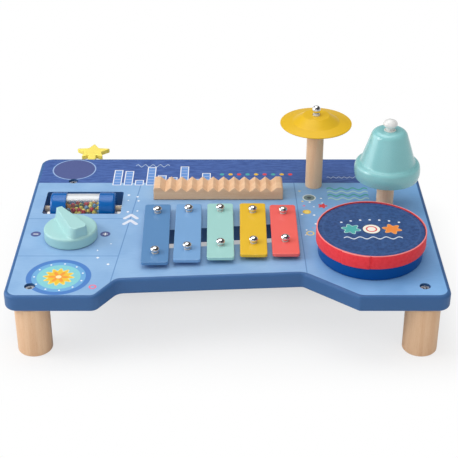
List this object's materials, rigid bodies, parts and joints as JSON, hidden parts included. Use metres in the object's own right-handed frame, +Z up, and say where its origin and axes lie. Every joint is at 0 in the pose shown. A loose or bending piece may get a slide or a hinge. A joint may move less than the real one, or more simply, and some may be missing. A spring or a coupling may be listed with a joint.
{
  "type": "musical activity table",
  "caption": "Low wooden music table for small children: painted board on round legs with bead roller, knob, rasp, xylophone, cymbal, push bell, drum and star beater.",
  "frame": {"origin": "on the floor, under the middle of the whole table", "axes": "+X to the player's right along the board, +Y away from the player, +Z up"},
  "size_m": [0.4, 0.316, 0.1622],
  "materials": {
    "board_blue": "satin painted board",
    "beech": "sanded clear-coated beech",
    "zinc_steel": "zinc-plated steel",
    "chrome": "polished",
    "roller_blue": "gloss",
    "clear_tube": "clear acrylic",
    "bead_mix": "mixed bright colours",
    "knob_mint": "satin paint on turned wood",
    "white_nylon": "matte",
    "bar_blue": "satin paint",
    "bar_sky": "satin paint",
    "bar_mint": "satin paint",
    "bar_yellow": "satin paint",
    "bar_red": "satin paint",
    "soft_rubber": "soft",
    "felt": "wool felt",
    "cymbal_yellow": "gloss paint",
    "bell_mint": "gloss paint",
    "white_button": "gloss",
    "drum_blue": "satin paint",
    "plywood": "raw",
    "skin_navy": "printed drum film",
    "band_red": "felt ribbon",
    "star_yellow": "satin paint"
  },
  "bodies": {
    "table": {"tabletop": "board_blue", "front_left_leg": "beech", "front_right_leg": "beech", "rear_left_leg": "beech", "rear_right_leg": "beech", "leg_bolts": "zinc_steel", "leg_inserts": "zinc_steel", "left_roller_axle": "beech", "right_roller_axle": "beech", "roller_beads": "bead_mix", "knob_pad": "white_nylon", "knob_washer": "zinc_steel", "guiro": "beech", "guiro_screws": "zinc_steel", "blue_bar": "bar_blue", "sky_bar": "bar_sky", "mint_bar": "bar_mint", "yellow_bar": "bar_yellow", "red_bar": "bar_red", "bar_pins": "chrome", "bar_sleeves": "soft_rubber", "cymbal_post": "beech", "cymbal_felt": "felt", "cymbal_screw": "chrome", "bell_post": "beech", "bell_frame": "zinc_steel", "bell_frame_screw": "zinc_steel", "bell_dome": "bell_mint", "bell_bush": "white_nylon", "bell_spring": "zinc_steel", "striker_pin": "zinc_steel", "post_screws": "zinc_steel", "drum_shell": "drum_blue", "drum_base": "plywood", "drum_skin": "skin_navy", "drum_band": "band_red", "drum_screws": "zinc_steel"},
    "roller": {"left_roller_cap": "roller_blue", "right_roller_cap": "roller_blue", "roller_tube": "clear_tube"},
    "knob": {"knob": "knob_mint", "knob_screw": "zinc_steel"},
    "cymbal_bush": {"cymbal_bush": "white_nylon"},
    "cymbal": {"cymbal": "cymbal_yellow"},
    "button": {"bell_button": "white_button", "bell_plunger": "zinc_steel"},
    "striker": {"bell_striker": "zinc_steel"},
    "beater": {"beater_star": "star_yellow", "beater_stick": "beech"}
  },
  "joints": [
    {"name": "roller_spin", "type": "hinge", "parent": "table", "child": "roller", "pos_m": [-0.1455, 0.01378, 0.06], "axis": [1, 0, 0], "continuous": true},
    {"name": "knob_turn", "type": "hinge", "parent": "table", "child": "knob", "pos_m": [-0.1503, -0.05352, 0.067], "axis": [0, 0, 1], "continuous": true},
    {"name": "cymbal_spin", "type": "hinge", "parent": "table", "child": "cymbal_bush", "pos_m": [0.089, 0.05098, 0.146], "axis": [0, 0, 1], "continuous": true},
    {"name": "cymbal_rock", "type": "hinge", "parent": "cymbal_bush", "child": "cymbal", "pos_m": [0.089, 0.05098, 0.1466], "axis": [1, 0, 0], "range_deg": [-2.5, 2.5], "stiffness_Nm_per_rad": 0.06},
    {"name": "button_press", "type": "slide", "parent": "table", "child": "button", "axis": [0, 0, -1], "range_m": [0, 0.0025], "stiffness_N_per_m": 400, "deforming": ["bell_spring"]},
    {"name": "striker_swing", "type": "hinge", "parent": "table", "child": "striker", "pos_m": [0.1636, 0.00798, 0.127], "axis": [0, -1, 0], "range_deg": [0, 24]},
    {"name": "beater_pull", "type": "slide", "parent": "table", "child": "beater", "axis": [0, 1, 0], "range_m": [0, 0.07]}
  ],
  "couplings": [
    {"joint": "striker_swing", "follows": "button_press", "rad_per_m": 166.67}
  ]
}
